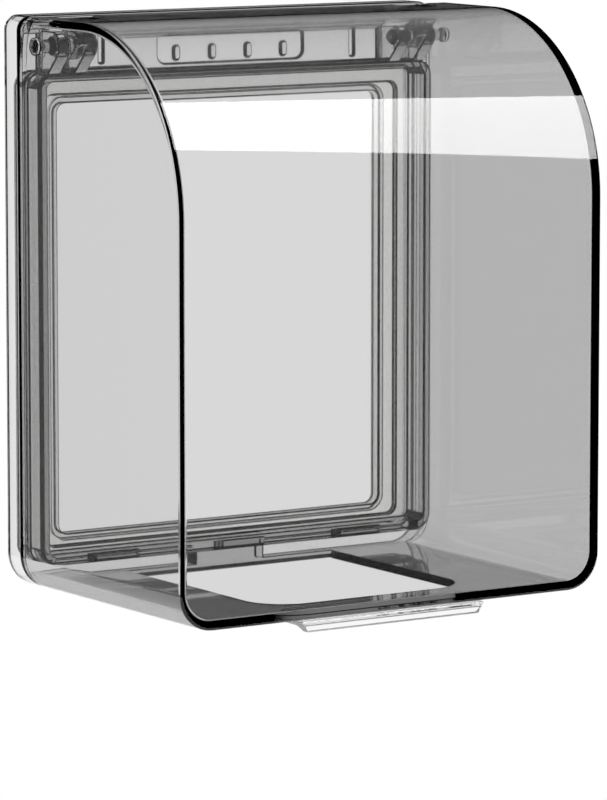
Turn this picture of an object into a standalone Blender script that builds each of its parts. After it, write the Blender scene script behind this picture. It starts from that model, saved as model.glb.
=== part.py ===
"""Splash cover for a wall outlet.

The outlet's plate sits inside the rim of a shallow base frame, and a deep see-through lid hangs from
two pins along the frame's top edge. A slot in the lid's bottom wall lets a plug's lead out.

Metres, +Z up, +X to the right. The wall is the plane Y = 0 and the room lies towards -Y. The origin is
on the wall plane, in the back of the solid foot in the middle of the frame's lower band.
"""

import math
from dataclasses import dataclass

import bmesh
import bpy
from mathutils import Vector

# Outline that the base frame and the lid share
OUTLINE_WIDTH = 0.1005
OUTLINE_HEIGHT = 0.117
TOP_CORNER_RADIUS = 0.003
BOTTOM_CORNER_RADIUS = 0.007
EDGE_CHAMFER = 0.0005
ORIGIN_RISE = 0.0015

# Base frame: bands between the outline and the rim, the rim, and the stepped floor inside it
BASE_DEPTH = 0.006
SIDE_BAND = 0.003
TOP_BAND = 0.0113
BOTTOM_BAND = 0.005
RIM_THICKNESS = 0.0015
RIM_HEIGHT = 0.0045
RIM_CORNER_RADIUS = 0.0035
FLOOR_THICKNESS = 0.0044
FLOOR_SIDE = 0.0034
FLOOR_TOP = 0.0035
FLOOR_BOTTOM = 0.0012
STEP_THICKNESS = 0.0032
STEP_SIDE = 0.0036
STEP_TOP = 0.002
STEP_BOTTOM = 0.0023
WINDOW_CORNER_RADIUS = 0.002

# Drain notches in the rim's lower wall leave raised tabs between them
DRAIN_DEPTH = 0.003
DRAIN_TAB_WIDTH = 0.0105
DRAIN_TAB_PITCH = 0.0292
DRAIN_TAB_COUNT = 3

# Shallow panel with small ribs, and a thin slot on each side of it, in the band between the hinges
PANEL_WIDTH = 0.0355
PANEL_HEIGHT = 0.0078
PANEL_DEPTH = 0.0006
PANEL_MARGIN = 0.0011
PANEL_CORNER_RADIUS = 0.002
RIB_COUNT = 4
RIB_PITCH = 0.0087
RIB_WIDTH = 0.0015
RIB_LENGTH = 0.0034
RIB_HEIGHT = 0.0006
RIB_MARGIN = 0.0008
SLIT_OFFSET = 0.0122
SLIT_WIDTH = 0.0012
SLIT_DEPTH = 0.0006

# Back of the base frame: its bands are hollow but for a foot, and a groove round the window holds the seal
SKIRT_WALL = 0.0013
BAND_WALL = 0.0014
FOOT_WIDTH = 0.016
WINDOW_LAND = 0.0013
GROOVE_DEPTH = 0.002

# Lid
LID_DEPTH = 0.0612
LID_WALL = 0.0016
LID_BOTTOM_WALL = 0.0018
LID_ARC_RADIUS = 0.037
LID_EDGE_RADIUS = 0.0006
LID_FOOT_RADIUS = 0.001
LID_FRONT_CORNER_RADIUS = 0.0075
LID_INNER_EDGE_RADIUS = 0.0004
LID_INNER_FOOT_RADIUS = 0.0006
LID_LIP_ANGLE = 35.0
CABLE_SLOT_WIDTH = 0.049
CABLE_SLOT_LEDGE = 0.009
CABLE_SLOT_CORNER_RADIUS = 0.009

# Hinges
HINGE_RADIUS = 0.0058
HINGE_INSET = 0.00965
KNUCKLE_WIDTH = 0.0027
KNUCKLE_REACH = 0.0042
EAR_THICKNESS = 0.0029
EAR_RADIUS = 0.0029
EAR_SIDE_CLEARANCE = 0.0003
NOTCH_CLEARANCE = 0.0005
PIN_RADIUS = 0.0014
PIN_CLEARANCE = 0.0003
PIN_RECESS = 0.0003
PIN_OVERHANG = 0.0008
PIN_CHAMFER = 0.0003

# Pull tab under the lid's front edge
PULL_WIDTH = 0.044
PULL_DROP = 0.0023
PULL_TAPER = 0.0014
PULL_LIP = 0.0018
PULL_FLANGE_DEPTH = 0.0085
PULL_FLANGE_THICKNESS = 0.001
PULL_SETBACK = 0.0003

# Clearance between pieces that touch, how far joined shapes sink in, and how far cutters run past
GAP = 0.0003
SINK = 0.0008
PAST = 0.001

# Steps in rounded shapes
CORNER_STEPS = 6
LID_ARC_STEPS = 14
LID_CORNER_STEPS = 8
ROUND_SIDES = 24

# Places that follow from the sizes
BOTTOM = -ORIGIN_RISE
TOP = BOTTOM + OUTLINE_HEIGHT
BASE_FRONT = -BASE_DEPTH
RIM_FRONT = BASE_FRONT - RIM_HEIGHT
LID_BACK = BASE_FRONT - GAP
LID_FRONT = LID_BACK - LID_DEPTH
AXIS_Y = LID_BACK - HINGE_RADIUS
AXIS_Z = TOP - HINGE_RADIUS
HINGE_X = OUTLINE_WIDTH / 2 - HINGE_INSET
EAR_GROUP_HALF_WIDTH = KNUCKLE_WIDTH / 2 + EAR_SIDE_CLEARANCE + EAR_THICKNESS


def arc(centre, radii, start, end, steps):
    """Points on an arc from start to end, in degrees, with its own radius along each axis."""
    angles = [math.radians(start + (end - start) * i / steps) for i in range(steps + 1)]
    return [(centre[0] + radii[0] * math.cos(a), centre[1] + radii[1] * math.sin(a)) for a in angles]


def tangent_angle(point, radius, side):
    """Angle in degrees at which a tangent from the point touches a circle about zero."""
    lean = math.acos(radius / math.hypot(*point))
    return math.degrees(math.atan2(point[1], point[0]) + side * lean)


@dataclass(frozen=True)
class Loop:
    """A rectangle across the front with rounded corners, symmetrical about X = 0."""

    half_width: float
    low: float
    high: float
    low_radius: float
    high_radius: float

    def shrunk(self, side, top, bottom, radius):
        """The loop that lies these distances inside this one."""
        return Loop(self.half_width - side, self.low + bottom, self.high - top, radius, radius)

    def inset(self, distance):
        """The loop that lies one distance inside this one, with its corners about the same centres."""
        return Loop(
            self.half_width - distance,
            self.low + distance,
            self.high - distance,
            max(self.low_radius - distance, distance / 2),
            max(self.high_radius - distance, distance / 2),
        )

    def points(self):
        """The loop's corners as (x, z), anticlockwise from the lower right one."""
        corners = (
            (1, self.low, self.low_radius, 1, -90),
            (1, self.high, self.high_radius, -1, 0),
            (-1, self.high, self.high_radius, -1, 90),
            (-1, self.low, self.low_radius, 1, 180),
        )
        outline = []
        for side, edge, radius, inward, start in corners:
            centre = (side * (self.half_width - radius), edge + inward * radius)
            outline += arc(centre, (radius, radius), start, start + 90, CORNER_STEPS)
        return outline


OUTLINE = Loop(OUTLINE_WIDTH / 2, BOTTOM, TOP, BOTTOM_CORNER_RADIUS, TOP_CORNER_RADIUS)
RIM_OUTER = OUTLINE.shrunk(SIDE_BAND, TOP_BAND, BOTTOM_BAND, RIM_CORNER_RADIUS)
RIM_INNER = RIM_OUTER.inset(RIM_THICKNESS)
STEP = RIM_INNER.shrunk(FLOOR_SIDE, FLOOR_TOP, FLOOR_BOTTOM, WINDOW_CORNER_RADIUS)
WINDOW = STEP.shrunk(STEP_SIDE, STEP_TOP, STEP_BOTTOM, WINDOW_CORNER_RADIUS)
GROOVE_OUTER = RIM_INNER
GROOVE_INNER = WINDOW.inset(-WINDOW_LAND)


def across(points, y):
    """A ring of (x, z) points in the plane at this y."""
    return [(x, y, z) for x, z in points]


def upright(points, x):
    """A ring of (y, z) points in the plane at this x."""
    return [(x, y, z) for y, z in points]


def skin(name, rings, closed=False):
    """An object whose surface joins each ring to the next: round to the first, or capped at both ends."""
    bm = bmesh.new()
    rows = [[bm.verts.new(point) for point in ring] for ring in rings]
    pairs = list(zip(rows, rows[1:])) + ([(rows[-1], rows[0])] if closed else [])
    for first, second in pairs:
        for i in range(len(first)):
            bm.faces.new((first[i - 1], first[i], second[i], second[i - 1]))
    bmesh.ops.connect_verts_nonplanar(bm, angle_limit=0.00002, faces=bm.faces)
    if not closed:
        bm.faces.new(rows[0])
        bm.faces.new(rows[-1])
    bmesh.ops.recalc_face_normals(bm, faces=bm.faces)
    mesh = bpy.data.meshes.new(name)
    bm.to_mesh(mesh)
    bm.free()
    obj = bpy.data.objects.new(name, mesh)
    bpy.context.scene.collection.objects.link(obj)
    return obj


def rod(name, radius, start, end, chamfer=0.0):
    """A round bar along the hinge axis, with its ends chamfered."""
    ends = [(start, radius), (end, radius)]
    if chamfer:
        ends = [
            (start, radius - chamfer),
            (start + chamfer, radius),
            (end - chamfer, radius),
            (end, radius - chamfer),
        ]
    step = 360 / ROUND_SIDES
    rings = [
        upright(arc((AXIS_Y, AXIS_Z), (r, r), 0, 360 - step, ROUND_SIDES - 1), x) for x, r in ends
    ]
    return skin(name, rings)


def combine(target, other, operation):
    """Adds a Boolean with another shape, which stays in the file as a hidden helper."""
    modifier = target.modifiers.new(other.name, "BOOLEAN")
    modifier.operation = operation
    modifier.object = other
    other.hide_render = True
    other.display_type = "WIRE"


def cut(target, other):
    """Cuts the other shape out of the target."""
    combine(target, other, "DIFFERENCE")


def join(target, other):
    """Makes the other shape part of the target."""
    combine(target, other, "UNION")


def finish(obj, material, origin=(0, 0, 0)):
    """Gives the object its material, smooth shading and the origin that it turns about."""
    obj.data.materials.append(material)
    obj.data.shade_smooth()
    obj.data.set_sharp_from_angle(angle=math.radians(32))
    for vertex in obj.data.vertices:
        vertex.co -= Vector(origin)
    obj.location = origin
    return obj


def plastic(name, colour, roughness, alpha=1.0, transmission=0.0):
    """A Principled material for one moulded or rubbery piece."""
    material = bpy.data.materials.new(name)
    material.use_nodes = True
    shader = material.node_tree.nodes["Principled BSDF"]
    shader.inputs["Base Color"].default_value = (*colour, 1.0)
    shader.inputs["Roughness"].default_value = roughness
    shader.inputs["Metallic"].default_value = 0.0
    shader.inputs["Alpha"].default_value = alpha
    shader.inputs["Transmission Weight"].default_value = transmission
    return material


def base_section():
    """The frame's cross section as loops with their depths, once round from the back outer edge."""
    chamfered = EDGE_CHAMFER
    return (
        (OUTLINE, 0.0),
        (OUTLINE, BASE_FRONT + chamfered),
        (OUTLINE.inset(chamfered), BASE_FRONT),
        (RIM_OUTER, BASE_FRONT),
        (RIM_OUTER, RIM_FRONT + chamfered),
        (RIM_OUTER.inset(chamfered), RIM_FRONT),
        (RIM_OUTER.inset(RIM_THICKNESS - chamfered / 2), RIM_FRONT),
        (RIM_INNER, RIM_FRONT + chamfered / 2),
        (RIM_INNER, -FLOOR_THICKNESS),
        (STEP, -FLOOR_THICKNESS),
        (STEP, -STEP_THICKNESS),
        (WINDOW, -STEP_THICKNESS),
        (WINDOW, 0.0),
        (GROOVE_INNER, 0.0),
        (GROOVE_INNER, -GROOVE_DEPTH),
        (GROOVE_OUTER, -GROOVE_DEPTH),
        (GROOVE_OUTER, 0.0),
    )


def cut_drain_notches(base):
    """Lowers the rim's bottom wall everywhere but at its raised tabs."""
    floor = RIM_FRONT + DRAIN_DEPTH
    low = RIM_OUTER.low - PAST
    high = RIM_INNER.low + PAST
    first = -DRAIN_TAB_PITCH * (DRAIN_TAB_COUNT - 1) / 2
    tabs = [first + DRAIN_TAB_PITCH * i for i in range(DRAIN_TAB_COUNT)]
    end = RIM_OUTER.half_width - RIM_CORNER_RADIUS
    starts = [-end] + [tab + DRAIN_TAB_WIDTH / 2 for tab in tabs]
    stops = [tab - DRAIN_TAB_WIDTH / 2 for tab in tabs] + [end]
    for i, (start, stop) in enumerate(zip(starts, stops)):
        corners = [(start, low), (stop, low), (stop, high), (start, high)]
        rings = [across(corners, RIM_FRONT - PAST), across(corners, floor)]
        cut(base, skin(f"drain_notch_cutter_{i}", rings))


def add_panel(base):
    """Sinks the panel between the hinges and stands its ribs in it."""
    low = RIM_OUTER.high + PANEL_MARGIN
    panel = Loop(PANEL_WIDTH / 2, low, low + PANEL_HEIGHT, PANEL_CORNER_RADIUS, PANEL_CORNER_RADIUS)
    floor = BASE_FRONT + PANEL_DEPTH
    rings = [across(panel.points(), BASE_FRONT - PAST), across(panel.points(), floor)]
    cut(base, skin("panel_cutter", rings))
    first = -RIB_PITCH * (RIB_COUNT - 1) / 2
    half = RIB_WIDTH / 2
    for i in range(RIB_COUNT):
        centre = first + RIB_PITCH * i
        foot = low + RIB_MARGIN + half
        outline = arc((centre, foot), (half, half), 180, 360, CORNER_STEPS)
        outline += arc((centre, foot + RIB_LENGTH - RIB_WIDTH), (half, half), 0, 180, CORNER_STEPS)
        rings = [across(outline, floor + SINK / 2), across(outline, floor - RIB_HEIGHT)]
        join(base, skin(f"panel_rib_shape_{i}", rings))
    for side in (-1, 1):
        middle = side * (panel.half_width + SLIT_OFFSET)
        slit = [
            (middle + x * SLIT_WIDTH / 2, z)
            for x, z in ((-1, low), (1, low), (1, panel.high), (-1, panel.high))
        ]
        rings = [across(slit, BASE_FRONT - PAST), across(slit, BASE_FRONT + SLIT_DEPTH)]
        cut(base, skin(f"slit_cutter_{side}", rings))


def hollow_bands(base):
    """Hollows the bands from behind, once round the rim from one side of the foot to the other."""
    outer = OUTLINE.inset(SKIRT_WALL)
    half = FOOT_WIDTH / 2
    outline = [(half, outer.low)] + outer.points() + [(-half, outer.low), (-half, RIM_OUTER.low)]
    outline += RIM_OUTER.points()[::-1] + [(half, RIM_OUTER.low)]
    rings = [across(outline, PAST), across(outline, BASE_FRONT + BAND_WALL)]
    cut(base, skin("band_hollow_cutter", rings))


def ear_profile():
    """An ear in side view: round about the pin, with a gusset that stands on the rim."""
    foot = (RIM_FRONT + EDGE_CHAMFER, RIM_OUTER.high - SINK)
    rear = BASE_FRONT + SINK
    reach = (foot[0] - AXIS_Y, foot[1] - AXIS_Z)
    touch = tangent_angle(reach, EAR_RADIUS, -1) % 360
    round_end = arc((AXIS_Y, AXIS_Z), (EAR_RADIUS, EAR_RADIUS), 90, touch, ROUND_SIDES // 2)
    return [(rear, AXIS_Z + EAR_RADIUS)] + round_end + [foot, (rear, foot[1])]


def add_ears(base):
    """Stands two ears at each hinge, and bores them for the pin."""
    profile = ear_profile()
    inner = KNUCKLE_WIDTH / 2 + EAR_SIDE_CLEARANCE
    for side in (-1, 1):
        for place, offset in (("inner", -1), ("outer", 1)):
            near = side * HINGE_X + offset * inner
            far = near + offset * EAR_THICKNESS
            join(base, skin(f"ear_shape_{side}_{place}", [upright(profile, near), upright(profile, far)]))
        start = side * (HINGE_X - EAR_GROUP_HALF_WIDTH - PAST)
        end = side * (HINGE_X + EAR_GROUP_HALF_WIDTH + PAST)
        cut(base, rod(f"ear_bore_cutter_{side}", PIN_RADIUS + PIN_CLEARANCE, start, end))


def build_base(material):
    """The frame that stays on the wall."""
    base = skin("base_frame", [across(loop.points(), y) for loop, y in base_section()], closed=True)
    cut_drain_notches(base)
    add_panel(base)
    add_ears(base)
    hollow_bands(base)
    return finish(base, material)


def corner_rise(x, half_width, radius):
    """How far a bottom corner of this radius lifts the bottom edge at x."""
    along = abs(x) - (half_width - radius)
    return radius - math.sqrt(max(radius**2 - along**2, 0.0)) if along > 0 else 0.0


def lid_profile(depth, low, foot_radii, lip_angle):
    """The lid in side view as (y, z), from the front's lower edge up over the top to the back.

    depth is how far the profile lies inside the outer faces, low is the height of the bottom edge at
    the front, and foot_radii are the front edge's round along Y and Z. The top's back end is round
    about the hinge axis, down to lip_angle above the horizontal.
    """
    foot, rise = foot_radii
    front = LID_FRONT + depth
    arc_radius = LID_ARC_RADIUS - depth
    roll = HINGE_RADIUS - depth
    points = arc((front + foot, low + rise), (foot, rise), 270, 180, CORNER_STEPS // 2)
    centre = (LID_FRONT + LID_ARC_RADIUS, TOP - LID_ARC_RADIUS)
    points += arc(centre, (arc_radius, arc_radius), 180, 90, LID_ARC_STEPS)
    points += arc((AXIS_Y, AXIS_Z), (roll, roll), 90, lip_angle, CORNER_STEPS)
    return points


def lid_stations(half_width, edge_radius, corner_radius):
    """Places across the lid, each as (x, depth inside the outer faces that the edge's round gives)."""
    wide = [
        half_width - corner_radius * (1 - math.sin(math.pi / 2 * i / LID_CORNER_STEPS))
        for i in range(LID_CORNER_STEPS + 1)
    ]
    stations = [(x, 0.0) for x in wide if x < half_width - 1.2 * edge_radius]
    for i in range(CORNER_STEPS // 2 + 1):
        angle = math.pi / 2 * i / (CORNER_STEPS // 2)
        stations.append(
            (half_width - edge_radius * (1 - math.sin(angle)), edge_radius * (1 - math.cos(angle)))
        )
    return [(-x, depth) for x, depth in reversed(stations)] + stations


def lid_outside():
    """The lid's outer form, as one solid."""
    half = OUTLINE_WIDTH / 2
    rings = []
    for x, depth in lid_stations(half, LID_EDGE_RADIUS, LID_FRONT_CORNER_RADIUS):
        back_low = BOTTOM + corner_rise(x, half, BOTTOM_CORNER_RADIUS)
        front_low = BOTTOM + corner_rise(x, half, LID_FRONT_CORNER_RADIUS)
        profile = lid_profile(depth, front_low, (LID_FOOT_RADIUS - depth, LID_FOOT_RADIUS), 0.0)
        rings.append(upright([(LID_BACK, back_low)] + profile + [(LID_BACK, AXIS_Z - PAST)], x))
    return skin("lid", rings)


def lid_inside():
    """The hollow of the lid, which runs out of its back."""
    half = OUTLINE_WIDTH / 2 - LID_WALL
    floor = BOTTOM + LID_BOTTOM_WALL
    front_radius = LID_FRONT_CORNER_RADIUS - LID_WALL
    back = LID_BACK + PAST
    rings = []
    for x, depth in lid_stations(half, LID_INNER_EDGE_RADIUS, front_radius):
        back_low = floor + corner_rise(x, half, BOTTOM_CORNER_RADIUS - LID_WALL)
        front_low = floor + corner_rise(x, half, front_radius)
        foot_radii = (LID_INNER_FOOT_RADIUS - depth, LID_INNER_FOOT_RADIUS)
        profile = lid_profile(LID_WALL + depth, front_low, foot_radii, LID_LIP_ANGLE)
        rings.append(upright([(back, back_low)] + profile + [(back, profile[-1][1])], x))
    return skin("lid_hollow_cutter", rings)


def cable_slot():
    """Cutter for the slot in the bottom wall, round at its two front corners and open to the back."""
    half = CABLE_SLOT_WIDTH / 2
    radius = CABLE_SLOT_CORNER_RADIUS
    front = LID_FRONT + CABLE_SLOT_LEDGE
    plan = arc((-half + radius, front + radius), (radius, radius), 180, 270, CORNER_STEPS)
    plan += arc((half - radius, front + radius), (radius, radius), 270, 360, CORNER_STEPS)
    plan += [(half, LID_BACK + PAST), (-half, LID_BACK + PAST)]
    heights = (BOTTOM - PAST, BOTTOM + LID_BOTTOM_WALL + PAST)
    return skin("cable_slot_cutter", [[(x, y, z) for x, y in plan] for z in heights])


def notch(side):
    """Cutter that opens the top's back edge over one hinge, so that the ears clear it as it turns."""
    half = EAR_GROUP_HALF_WIDTH + NOTCH_CLEARANCE
    middle = side * HINGE_X
    front = AXIS_Y - EAR_RADIUS - NOTCH_CLEARANCE
    low = AXIS_Z + EAR_RADIUS / 2
    box = [(front, low), (LID_BACK + PAST, low), (LID_BACK + PAST, TOP + PAST), (front, TOP + PAST)]
    return skin(f"hinge_notch_cutter_{side}", [upright(box, middle - half), upright(box, middle + half)])


def knuckle(side):
    """The arm that reaches from the lid's top to the pin, between two ears."""
    root = HINGE_RADIUS - LID_WALL + SINK
    rear = (-EAR_RADIUS - NOTCH_CLEARANCE - SINK, root)
    front = (rear[0] - KNUCKLE_REACH, root)
    rear_touch = tangent_angle(rear, EAR_RADIUS, -1)
    front_touch = tangent_angle(front, EAR_RADIUS, 1)
    round_end = arc((0, 0), (EAR_RADIUS, EAR_RADIUS), rear_touch, front_touch - 360, ROUND_SIDES)
    profile = [(AXIS_Y + y, AXIS_Z + z) for y, z in [rear] + round_end + [front]]
    middle = side * HINGE_X
    half = KNUCKLE_WIDTH / 2
    return skin(f"knuckle_shape_{side}", [upright(profile, middle - half), upright(profile, middle + half)])


def build_lid(material):
    """The see-through lid, with its origin on the hinge axis."""
    lid = lid_outside()
    cut(lid, lid_inside())
    cut(lid, cable_slot())
    for side in (-1, 1):
        cut(lid, notch(side))
        join(lid, knuckle(side))
        start = side * (HINGE_X - KNUCKLE_WIDTH)
        end = side * (OUTLINE_WIDTH / 2 + PAST)
        cut(lid, rod(f"lid_bore_cutter_{side}", PIN_RADIUS + PIN_CLEARANCE, start, end))
    return finish(lid, material, (0, AXIS_Y, AXIS_Z))


def build_pin(name, side, material):
    """One hinge pin, from just under the lid's side face to just past the inner ear."""
    start = HINGE_X - EAR_GROUP_HALF_WIDTH - PIN_OVERHANG
    end = OUTLINE_WIDTH / 2 - PIN_RECESS
    low, high = sorted((side * start, side * end))
    pin = rod(name, PIN_RADIUS, low, high, PIN_CHAMFER)
    return finish(pin, material, ((low + high) / 2, AXIS_Y, AXIS_Z))


def build_pull_tab(material):
    """The finger strip: a thin flange under the bottom wall's front ledge, with a lip along its front."""
    top = BOTTOM - GAP
    front = LID_FRONT + PULL_SETBACK
    low = top - PULL_DROP
    flange = top - PULL_FLANGE_THICKNESS
    profile = [
        (front, top),
        (front, low + EDGE_CHAMFER),
        (front + EDGE_CHAMFER, low),
        (front + PULL_LIP - EDGE_CHAMFER, low),
        (front + PULL_LIP, low + EDGE_CHAMFER),
        (front + PULL_LIP, flange),
        (front + PULL_FLANGE_DEPTH, flange),
        (front + PULL_FLANGE_DEPTH, top),
    ]
    rings = []
    for side in (-1, 1):
        ends = [side * (PULL_WIDTH / 2 - PULL_TAPER * (top - z) / PULL_DROP) for _, z in profile]
        rings.append([(x, y, z) for x, (y, z) in zip(ends, profile)])
    return finish(skin("pull_tab", rings), material, (0, front, top))


def build_gasket(material):
    """The soft ring in the groove of the frame's back, pressed level with the wall."""
    outer = GROOVE_OUTER.inset(GAP).points()
    inner = GROOVE_INNER.inset(-GAP).points()
    depth = GROOVE_DEPTH - GAP
    rings = [across(outer, 0.0), across(outer, -depth), across(inner, -depth), across(inner, 0.0)]
    return finish(skin("wall_gasket", rings, closed=True), material)


def main():
    """Builds the cover, with all that turns parented to an empty on the hinge axis."""
    for obj in list(bpy.data.objects):
        bpy.data.objects.remove(obj, do_unlink=True)
    smoke = plastic("smoke_plastic", (0.30, 0.31, 0.32), 0.08, alpha=0.55, transmission=0.6)
    clear = plastic("clear_plastic", (0.90, 0.91, 0.92), 0.12, alpha=0.45, transmission=0.8)
    seal = plastic("seal_foam", (0.82, 0.82, 0.80), 0.85)

    build_base(smoke)
    build_gasket(seal)

    axis = bpy.data.objects.new("hinge_axis", None)
    axis.location = (0, AXIS_Y, AXIS_Z)
    bpy.context.scene.collection.objects.link(axis)
    turning = (
        build_lid(smoke),
        build_pin("hinge_pin_left", -1, smoke),
        build_pin("hinge_pin_right", 1, smoke),
        build_pull_tab(clear),
    )
    for piece in turning:
        piece.parent = axis
        piece.location -= axis.location


main()
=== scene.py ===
"""Looks for the splash cover: smoke tinted mouldings with crisp edges and painted shade on their
fine rounds, round a fixed frame.

Metres, +Z up, +X to the right as seen from the room. The wall is the plane Y = 0 and the room lies
towards -Y. Every piece is modelled at its place, so that its object stays at the origin.
"""

from __future__ import annotations

import logging
import math
from dataclasses import dataclass, field
from enum import Enum
from typing import Callable, Iterable

import bmesh
import bpy
from mathutils import Matrix, Vector

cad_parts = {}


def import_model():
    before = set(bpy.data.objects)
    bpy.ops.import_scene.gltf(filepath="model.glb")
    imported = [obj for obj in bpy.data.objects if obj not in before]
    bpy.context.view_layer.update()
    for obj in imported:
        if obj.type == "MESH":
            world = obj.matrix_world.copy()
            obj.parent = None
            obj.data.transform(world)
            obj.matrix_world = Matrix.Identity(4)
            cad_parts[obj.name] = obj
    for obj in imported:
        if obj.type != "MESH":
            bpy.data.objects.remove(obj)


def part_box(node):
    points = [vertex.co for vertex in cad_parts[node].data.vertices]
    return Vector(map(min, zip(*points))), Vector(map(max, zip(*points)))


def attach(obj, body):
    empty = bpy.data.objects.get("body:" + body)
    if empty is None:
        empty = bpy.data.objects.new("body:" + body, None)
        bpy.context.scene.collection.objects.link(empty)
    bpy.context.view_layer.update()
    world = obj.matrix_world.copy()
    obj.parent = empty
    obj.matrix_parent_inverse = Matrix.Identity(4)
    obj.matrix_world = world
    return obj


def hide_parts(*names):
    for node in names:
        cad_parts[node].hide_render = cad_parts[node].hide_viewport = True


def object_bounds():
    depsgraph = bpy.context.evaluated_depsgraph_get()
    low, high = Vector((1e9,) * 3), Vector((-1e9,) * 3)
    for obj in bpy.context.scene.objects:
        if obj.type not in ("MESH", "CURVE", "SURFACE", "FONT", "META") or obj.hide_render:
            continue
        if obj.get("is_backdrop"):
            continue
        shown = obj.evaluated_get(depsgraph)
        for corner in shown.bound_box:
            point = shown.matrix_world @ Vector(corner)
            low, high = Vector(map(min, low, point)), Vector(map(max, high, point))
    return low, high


log = logging.getLogger("splash_cover")

# How far a cutting shape reaches past its target, and how close points are that count as one
PAST = 0.001
MERGE = 0.000002
NEAR = 0.00002
FLAT_ANGLE = math.radians(0.05)
SMOOTH_ANGLE = math.radians(35)
ROUND_SIDES = 64
BORE_SIDES = 44
BLOCK_STEPS = 10
# Face attribute that carries painted shade: the plastic's colour is darkened on the marked faces
PAINTED_EDGE_SHADE = "painted_edge_shade"

Piece = bpy.types.Object
Material = bpy.types.Material
Edge = bmesh.types.BMEdge
Span = tuple[float, float]
Triple = tuple[float, float, float]
EdgeTest = Callable[[Edge], bool]


class Axis(Enum):
    """A direction along which edges or faces are picked."""

    X = 0
    Y = 1
    Z = 2


class Cut(Enum):
    """What one shape does to another."""

    AWAY = "DIFFERENCE"
    ON = "UNION"


# ---- modelling steps, as by hand


def deselect() -> None:
    """Leaves nothing selected, so that the next step acts on its own piece alone."""
    bpy.ops.object.select_all(action="DESELECT")


def activate(piece: Piece) -> None:
    """Makes one piece the selected and active one.

    Args:
        piece: The piece that the next operators act on.
    """
    deselect()
    piece.select_set(True)
    bpy.context.view_layer.objects.active = piece


def block(name: str, x: Span, y: Span, z: Span) -> Piece:
    """Adds a cube and fits it to its place.

    Args:
        name: The new object's name.
        x: The lowest and highest X, in metres.
        y: The lowest and highest Y.
        z: The lowest and highest Z.

    Returns:
        The block, with its place in its mesh.
    """
    deselect()
    spans = (x, y, z)
    bpy.ops.mesh.primitive_cube_add(size=1.0, location=[(low + high) / 2 for low, high in spans])
    piece = bpy.context.object
    piece.name = name
    piece.scale = [high - low for low, high in spans]
    bpy.ops.object.transform_apply(location=True, rotation=True, scale=True)
    return piece


def bar(name: str, radius: float, x: Span, y: float, z: float, sides: int = ROUND_SIDES) -> Piece:
    """Adds a round bar along X.

    Args:
        name: The new object's name.
        radius: The bar's radius.
        x: Where it starts and ends.
        y: Its axis's Y.
        z: Its axis's Z.
        sides: How many sides the round has.

    Returns:
        The bar, with its place in its mesh.
    """
    deselect()
    low, high = sorted(x)
    bpy.ops.mesh.primitive_cylinder_add(
        vertices=sides,
        radius=radius,
        depth=high - low,
        location=((low + high) / 2, y, z),
        rotation=(0, math.radians(90), 0),
    )
    piece = bpy.context.object
    piece.name = name
    bpy.ops.object.transform_apply(location=True, rotation=True, scale=True)
    return piece


def pick_edges(piece: Piece, test: EdgeTest) -> int:
    """Goes into edit mode and selects the edges that pass the test.

    Args:
        piece: The piece to edit.
        test: Says for one edge whether it is picked.

    Returns:
        How many edges are picked.
    """
    activate(piece)
    bpy.ops.object.mode_set(mode="EDIT")
    bpy.ops.mesh.select_mode(type="EDGE")
    bpy.ops.mesh.select_all(action="DESELECT")
    mesh = bmesh.from_edit_mesh(piece.data)
    picked = [edge for edge in mesh.edges if test(edge)]
    for edge in picked:
        edge.select_set(True)
    bmesh.update_edit_mesh(piece.data)
    return len(picked)


def round_edges(piece: Piece, radius: float, steps: int, test: EdgeTest) -> None:
    """Rounds the edges that pass the test.

    Args:
        piece: The piece to edit.
        radius: The radius of the round.
        steps: How many faces the round has.
        test: Says for one edge whether it is rounded.
    """
    if not pick_edges(piece, test):
        raise ValueError(f"{piece.name} has no such edge to round")
    bpy.ops.mesh.bevel(
        offset=radius, segments=steps, profile=0.5, affect="EDGES", clamp_overlap=False
    )
    bpy.ops.object.mode_set(mode="OBJECT")


def along(edge: Edge, axis: Axis) -> bool:
    """True if the edge runs along this axis."""
    span = edge.verts[1].co - edge.verts[0].co
    return abs(span[axis.value]) > 0.999 * span.length


def near(value: float, place: float) -> bool:
    """True if a coordinate lies at this place."""
    return abs(value - place) < NEAR


def middle(edge: Edge) -> Vector:
    """The point half way along an edge."""
    return (edge.verts[0].co + edge.verts[1].co) / 2


def sharp(edge: Edge, degrees: float = 40.0) -> bool:
    """True if the two faces at an edge meet at more than this angle."""
    return edge.calc_face_angle(0.0) > math.radians(degrees)


def rounded_block(name: str, half: float, z: Span, y: Span, radii: Span) -> Piece:
    """A block across the front, with its four corners round.

    Args:
        name: The new object's name.
        half: Half of its width.
        z: Its lowest and highest Z.
        y: Its lowest and highest Y.
        radii: The radius of the two lower corners and of the two upper ones.

    Returns:
        The block.
    """
    piece = block(name, (-half, half), y, z)
    for edge_z, radius in zip(z, radii):
        round_edges(
            piece, radius, BLOCK_STEPS, lambda e: along(e, Axis.Y) and near(middle(e).z, edge_z)
        )
    return piece


def carve(target: Piece, tool: Piece, what: Cut) -> None:
    """Cuts the tool out of the target, or joins it on, and removes the tool.

    Args:
        target: The piece that changes.
        tool: The shape that is used up.
        what: Whether it is cut away or joined on.
    """
    activate(target)
    modifier = target.modifiers.new("carve", "BOOLEAN")
    modifier.operation = what.value
    modifier.object = tool
    modifier.solver = "EXACT"
    bpy.ops.object.modifier_apply(modifier=modifier.name)
    mesh = tool.data
    bpy.data.objects.remove(tool)
    bpy.data.meshes.remove(mesh)


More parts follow.
